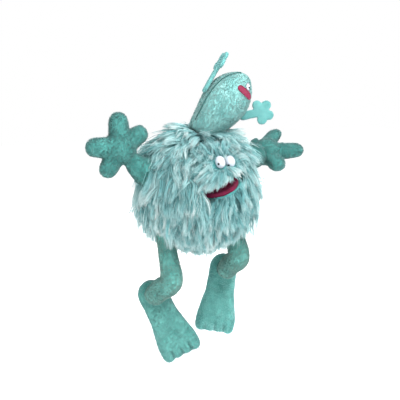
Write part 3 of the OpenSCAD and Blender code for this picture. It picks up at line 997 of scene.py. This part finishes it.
def build_leg(side):
    rng = np.random.default_rng(len(side) + 50)
    hip, knee, ankle = (pivot(f"{side}_{j}") for j in ("hip", "knee", "ankle"))
    bend = unit(knee - (hip + ankle) / 2)
    aside = RIGHT * (-5 if side == "right" else 0)
    path = spline([np.append(hip + aside, 14.5),
                   np.append(hip * 0.5 + knee * 0.5 + bend * 3 + aside * 0.7, 15.2),
                   np.append(knee + bend * 1, 18.2), np.append(knee * 0.45 + ankle * 0.55, 17.6),
                   np.append(ankle - unit(ankle - knee) * 3, 16.4)], 40)
    centres, radii = path[:, :3], path[:, 3]
    first, last = unit(centres[0] - centres[1]), unit(centres[-1] - centres[-2])
    caps = [(0.98, 0.25), (0.88, 0.5), (0.66, 0.76), (0.34, 0.95), (0.05, 1.0)]
    top = [(centres[0] + first * radii[0] * h, radii[0] * r) for r, h in caps][::-1]
    low = [(centres[-1] + last * radii[-1] * h, radii[-1] * r) for r, h in caps]
    centres = np.array([c for c, _ in top] + list(centres) + [c for c, _ in low])
    radii = np.array([r for _, r in top] + list(radii) + [r for _, r in low])
    verts, faces = tube(centres, radii, 36)
    thigh, shin = f"{side}_thigh", f"{side}_shin"
    leg = add(f"{side}_leg_plush", verts, faces, None, "plush")
    rumple(leg, 1.1, 24, len(side) + 3)
    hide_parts(f"{thigh}_cover", f"{thigh}_filling", f"{shin}_cover", f"{shin}_filling")
    fur = nap(f"{side}_leg_nap", leg, 11000, 2.2, 0.3, None, "plush", LEG_NAP, rng)
    # The seam runs down the back of the leg.
    back = unit(np.cross(unit(ankle - hip), BACK))
    tree = surface(leg)
    line = [nearest(tree, c + back * r * 1.3)[0] for c, r in zip(centres[6:-6], radii[6:-6])]
    seam_verts, seam_faces = stitches(line, 3.4, 0.8, 0.55)
    seam = add(f"{side}_leg_seam", seam_verts, seam_faces, None, "stitching")
    for piece in (leg, fur, seam):
        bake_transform(piece)


FOOT_TURN = {"right": 28, "left": -9}
FOOT_SHIFT, TOE_GAP = -5.0, 16.7


def foot_axes(side):
    a = math.radians(FOOT_TURN[side])
    return (RIGHT * math.cos(a) + UP * math.sin(a),
            -RIGHT * math.sin(a) + UP * math.cos(a), BACK)


def foot_outline(count):
    """Edge of a foot seen from above: heel, sides and four round toes."""
    long, toe = 118.0, 10.0  # heel seam to toe tips, and the radius of a toe
    pts = [(24 * math.sin(math.radians(a)), 2 + 24 * math.cos(math.radians(a)))
           for a in range(-90, 91, 15)]
    pts += [(25, -20), (26, -41), (30, -64), (35, -88)]
    for i in (1.5, 0.5, -0.5, -1.5):
        pts += [(i * TOE_GAP + toe * math.sin(math.radians(a)),
                 -long + toe - toe * math.cos(math.radians(a)))
                for a in range(75, -76, -25)]
    pts += [(-35, -88), (-30, -64), (-26, -41), (-25, -20), (-24, 2)]
    p = np.array(pts, float) + np.array([FOOT_SHIFT, 0])
    run = np.concatenate([[0], np.cumsum(np.linalg.norm(np.diff(p, axis=0), axis=1))])
    at = np.linspace(0, run[-1], count, endpoint=False)
    return np.stack([np.interp(at, run, p[:, k]) for k in range(2)], 1)


def build_foot(side):
    body = f"{side}_foot"
    rng = np.random.default_rng(len(side) + 60)
    x, y, z = foot_axes(side)
    ankle = pivot(f"{side}_ankle")
    foot = cad_union(f"{body}_plush", [f"{body}_cover", f"{body}_filling"], 3.2, 8)
    puff(foot, 1.5)
    subdivide(foot)
    co = coords(foot)
    local = np.stack([(co - ankle) @ v for v in (x, y, z)], 1)
    # Rounded towards the edge, and drawn in between the toes.
    middle = local[:, 2] + 22
    toes = smooth01(-local[:, 1], 92, 112)
    across = local[:, 0] - FOOT_SHIFT
    groove = sum(np.exp(-((across - at) / 3.0) ** 2) for at in (-TOE_GAP, 0, TOE_GAP))
    local[:, 2] -= middle * (0.4 * toes * groove).clip(0, 0.8)
    edge = smooth01(abs(across), 18, 36) * 0.3 + smooth01(-local[:, 1], 98, 118) * 0.22
    local[:, 2] -= middle * edge
    set_coords(foot, ankle + local @ np.stack([x, y, z]))
    rumple(foot, 1.3, 26, len(side) + 5)
    finish_piece(foot, body, "plush")
    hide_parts(f"{body}_cover", f"{body}_filling")
    # The far (left) foot takes the lightened nap, painted light against the shade it stands in.
    nap(f"{body}_nap", foot, 15000, 2.0, 0.3, body, "plush",
        FOOT_NAP if side == "right" else FAR_FOOT_NAP_PAINTED_LIGHT, rng,
        tuple(-y * 0.8))
    tree = surface(foot)
    line = []
    for px, py in foot_outline(150):
        at = ankle + x * px * 1.03 + y * (py * 1.02) - z * 22
        line.append(nearest(tree, at)[0])
    verts, faces = tube(np.array(line), 0.75, 8, closed=True)
    add(f"{body}_seam", verts, faces, body, "stitching")
    # The crease where the round end of the leg is sewn on.
    knee = pivot(f"{side}_knee")
    middle = ankle - unit(ankle - knee) * 3
    crease = []
    for t in np.radians(np.linspace(135, 350, 50)):
        at = middle + (RIGHT * math.cos(t) + UP * math.sin(t)) * 17.4
        crease.append(nearest(tree, at)[0])
    verts, faces = tube(np.array(crease), 1.3, 8)
    add(f"{body}_ankle_seam", verts, faces, body, "stitching")


# ---------- small puppet ----------

def small_point(s, azimuth, r):
    a = math.radians(azimuth)
    return (SMALL_BASE + SMALL_Z * s + SMALL_X * (r * math.cos(a))
            + SMALL_Y * (r * math.sin(a)))


def egg_radius(s):
    return float(np.interp(s, EGG[:, 0], EGG[:, 1]))


SMALL_EYE = centre("small_eye") + RIGHT * 4.5 - UP * 2


def build_small():
    rng = np.random.default_rng(70)
    rows = spline(EGG, 60)
    turns = 72
    verts = [SMALL_BASE + SMALL_Z * rows[0, 0]]
    for s, r in rows[:-1]:
        for k in range(turns):
            a = 360.0 * k / turns
            pinch = 1.1 * (math.exp(-((a - 180) / 5) ** 2)
                           + math.exp(-(min(a, 360 - a) / 5) ** 2))
            verts.append(small_point(s, a, r - pinch * min(r / 20, 1)))
    verts.append(SMALL_BASE + SMALL_Z * 116)
    faces = [(0, 1 + (k + 1) % turns, 1 + k) for k in range(turns)]
    count = len(rows) - 1
    for i in range(count - 1):
        for k in range(turns):
            a, b = 1 + i * turns + k, 1 + i * turns + (k + 1) % turns
            faces.append((a, b, b + turns, a + turns))
    top = 1 + (count - 1) * turns
    faces += [(top + k, top + (k + 1) % turns, len(verts) - 1) for k in range(turns)]
    plush = add("small_body_plush", verts, faces, "small_body", "small_plush")
    rumple(plush, 0.9, 34, 4)
    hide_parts("small_front_cover", "small_back_cover", "small_filling")
    nap("small_body_nap", plush, 20000, 2.2, 0.32, "small_body", "small_plush", MINT, rng,
        tuple(-SMALL_Z * 0.7), off_the_seam)
    tree = surface(plush)
    line = [np.add(*nearest(tree, small_point(s, 194, egg_radius(s) + 1)))
            for s in np.linspace(4, 112, 70)]
    line += [np.add(*nearest(tree, small_point(s, 0, egg_radius(s) + 1)))
             for s in np.linspace(112, 4, 70)]
    seam_verts, seam_faces = tube(np.array(line), 1.2, 8)
    add("small_seam", seam_verts, seam_faces, "small_body", "stitching")
    build_small_mouth(tree)
    build_small_eye(tree)


def off_the_seam(p, n):
    """Leaves out the small puppet's side seam, its mouth and its eye."""
    rel = p - SMALL_BASE
    s, y = rel @ SMALL_Z, rel @ SMALL_Y
    azimuth = np.degrees(np.arctan2(y, rel @ SMALL_X))
    mouth_to = SMALL_MOUTH_FROM + SMALL_MOUTH_SPAN
    mouth = (abs(s - SMALL_MOUTH) < 5) & (azimuth > SMALL_MOUTH_FROM) & (azimuth < mouth_to)
    eye = np.linalg.norm(p - SMALL_EYE, axis=1) < 7
    seam = (abs(azimuth) < 2.5) | (abs(azimuth + 166) < 2.5)
    return ~seam & ~mouth & ~eye


def build_small_mouth(tree):
    parts = []
    count = 74
    for i in range(count):
        f = i / (count - 1)
        azimuth = SMALL_MOUTH_FROM + SMALL_MOUTH_SPAN * f
        half = 5.4 * math.sqrt(max(1 - (2 * f - 1) ** 6, 0.05))
        path = []
        for s in np.linspace(SMALL_MOUTH - half, SMALL_MOUTH + half, 7):
            where, normal = nearest(tree, small_point(s, azimuth, egg_radius(s) + 1))
            bulge = 1.0 + 1.0 * (1 - ((s - SMALL_MOUTH) / half) ** 2)
            path.append(where + normal * bulge)
        parts.append(tube(np.array(path), 0.42, 6))
    verts, faces = merged(parts)
    band = add("small_stitched_mouth", verts, faces, "small_body", "mouth", SATIN)
    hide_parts("small_mouth_patch")


def oval(tree, middle, normal, across, up, a, b, count):
    path = []
    for k in range(count):
        t = 2 * math.pi * k / count
        p = middle + across * a * math.cos(t) + up * b * math.sin(t)
        path.append(nearest(tree, p + normal)[0])
    return np.array(path)


def build_small_eye(tree):
    middle, normal = nearest(tree, SMALL_EYE)
    up = unit(SMALL_Z - normal * (SMALL_Z @ normal))
    across = np.cross(up, normal)
    verts, faces = dome(middle, normal, 1.0, 2.0, 32)
    flat = np.array(verts) - middle
    flat = (np.outer(flat @ across, across) * 4.4 + np.outer(flat @ up, up) * 6.4
            + np.outer(flat @ normal, normal))
    eye = add("small_eye_button", middle + flat + normal * 0.8, faces, "small_body", "eye_white")
    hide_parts("small_eye")
    verts, faces = tube(oval(tree, middle, normal, across, up, 4.9, 6.9, 40) + normal * 1.2,
                        0.7, 8, closed=True)
    add("small_eye_rim", verts, faces, "small_body", "eye_white", RIM)
    spot = centre("small_pupil") + RIGHT * 4.0 - UP * 2
    spot = spot - normal * ((spot - middle) @ normal) + normal * 2.5
    verts, faces = dome(spot, normal, 2.0, 0.9, 18)
    pupil = add("small_pupil_dome", verts, faces, "small_body", "pupil")
    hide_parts("small_pupil")


def build_small_arm(side):
    node = f"small_{side}_arm"
    rng = np.random.default_rng(len(side) + 80)
    felt = cad_union(f"{node}_plush", [node], 1.3, 5)
    rumple(felt, 0.5, 16, len(side))
    finish_piece(felt, node, "plush", FELT)
    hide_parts(node)
    nap(f"{node}_nap", felt, 7000, 0.9, 0.26, node, "plush", FELT_NAP, rng)


# ---------- sleeve ----------

def build_hem():
    lo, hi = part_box("sleeve_hem")
    lo, hi = np.array(lo) / MM, np.array(hi) / MM
    mid = (lo + hi) / 2
    profile = []
    for k in range(14):
        t = 2 * math.pi * k / 14
        profile.append((45 + 2.8 * math.cos(t), 4.9 * math.sin(t)))
    turns = 96
    verts, faces = [], []
    for i in range(turns):
        a = 2 * math.pi * i / turns
        pucker = 0.35 * math.sin(24 * a)
        for r, h in profile:
            verts.append((mid[0] + (r + pucker) * math.cos(a), mid[1] + h,
                          mid[2] + (r + pucker) * math.sin(a)))
    n = len(profile)
    for i in range(turns):
        for k in range(n):
            a, b = i * n, ((i + 1) % turns) * n
            faces.append((a + k, a + (k + 1) % n, b + (k + 1) % n, b + k))
    hem = add("sleeve_cuff", verts, faces, "body", "lining")
    clean(hem)
    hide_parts("sleeve_hem")
    ring = [(mid[0] + 48.1 * math.cos(t), mid[1] - 1.5, mid[2] + 48.1 * math.sin(t))
            for t in np.linspace(0, 2 * math.pi, 160)]
    verts, faces = stitches(ring, 4.0, 1.5, 0.5)
    add("cuff_stitches", verts, faces, "body", "stitching")


# ---------- studio ----------

def add_light(name, where, size, power):
    light = bpy.data.lights.new(name, "AREA")
    light.size = size
    light.energy = power
    lamp = bpy.data.objects.new(name, light)
    bpy.context.scene.collection.objects.link(lamp)
    lamp.location = where
    lamp.rotation_euler = (-Vector(where)).to_track_quat("-Z", "Y").to_euler()


def build_studio():
    scene = bpy.context.scene
    scene.view_settings.view_transform = "Standard"
    floor_gap, size = 0.03, 4.0
    floor_z = CAD_BOX[0][2] - floor_gap
    mesh = bpy.data.meshes.new("floor")
    mesh.from_pydata([(-size, -size, floor_z), (size, -size, floor_z),
                      (size, size, floor_z), (-size, size, floor_z)], [], [(0, 1, 2, 3)])
    floor = bpy.data.objects.new("floor", mesh)
    scene.collection.objects.link(floor)
    m, _, _, shader = node_material("floor_paper")
    shader.inputs["Base Color"].default_value = (0.95, 0.95, 0.95, 1)
    shader.inputs["Roughness"].default_value = 0.9
    shader.inputs["Emission Color"].default_value = (1, 1, 1, 1)
    shader.inputs["Emission Strength"].default_value = 0.6
    mesh.materials.append(m)
    world = bpy.data.worlds.new("studio")
    scene.world = world
    world.use_nodes = True
    tree = world.node_tree
    back = tree.nodes["Background"]
    back.inputs["Color"].default_value = (1, 1, 1, 1)
    path = tree.nodes.new("ShaderNodeLightPath")
    strength = tree.nodes.new("ShaderNodeMapRange")
    strength.inputs["To Min"].default_value = 0.5
    strength.inputs["To Max"].default_value = 1.0
    tree.links.new(path.outputs["Is Camera Ray"], strength.inputs["Value"])
    tree.links.new(strength.outputs["Result"], back.inputs["Strength"])
    add_light("key", (0.15, -1.1, 1.35), 0.8, 42)
    add_light("fill", (-1.2, -0.6, 0.6), 1.2, 7)
    add_light("rim", (0.6, 1.3, 1.2), 0.9, 14)


def build_camera():
    data = bpy.data.cameras.new("camera")
    data.lens = 68.8
    data.sensor_width = 36
    camera = bpy.data.objects.new("camera", data)
    aside, below, away = 5.1, 22.1, 1300
    place = (RIGHT * aside - UP * below + BACK * away) * MM
    rows = [[RIGHT[i], UP[i], BACK[i], place[i]] for i in range(3)] + [[0, 0, 0, 1]]
    camera.matrix_world = Matrix(rows)
    bpy.context.scene.collection.objects.link(camera)
    bpy.context.scene.camera = camera


build_camera()
build_studio()
dress_nodes()
for limb_side in ("right", "left"):
    build_arm(limb_side)
    build_leg(limb_side)
    build_foot(limb_side)
    build_small_arm(limb_side)
build_small()
build_hem()
build_mouth()
build_eyes()
build_face()
build_body_fur()
build_crown()
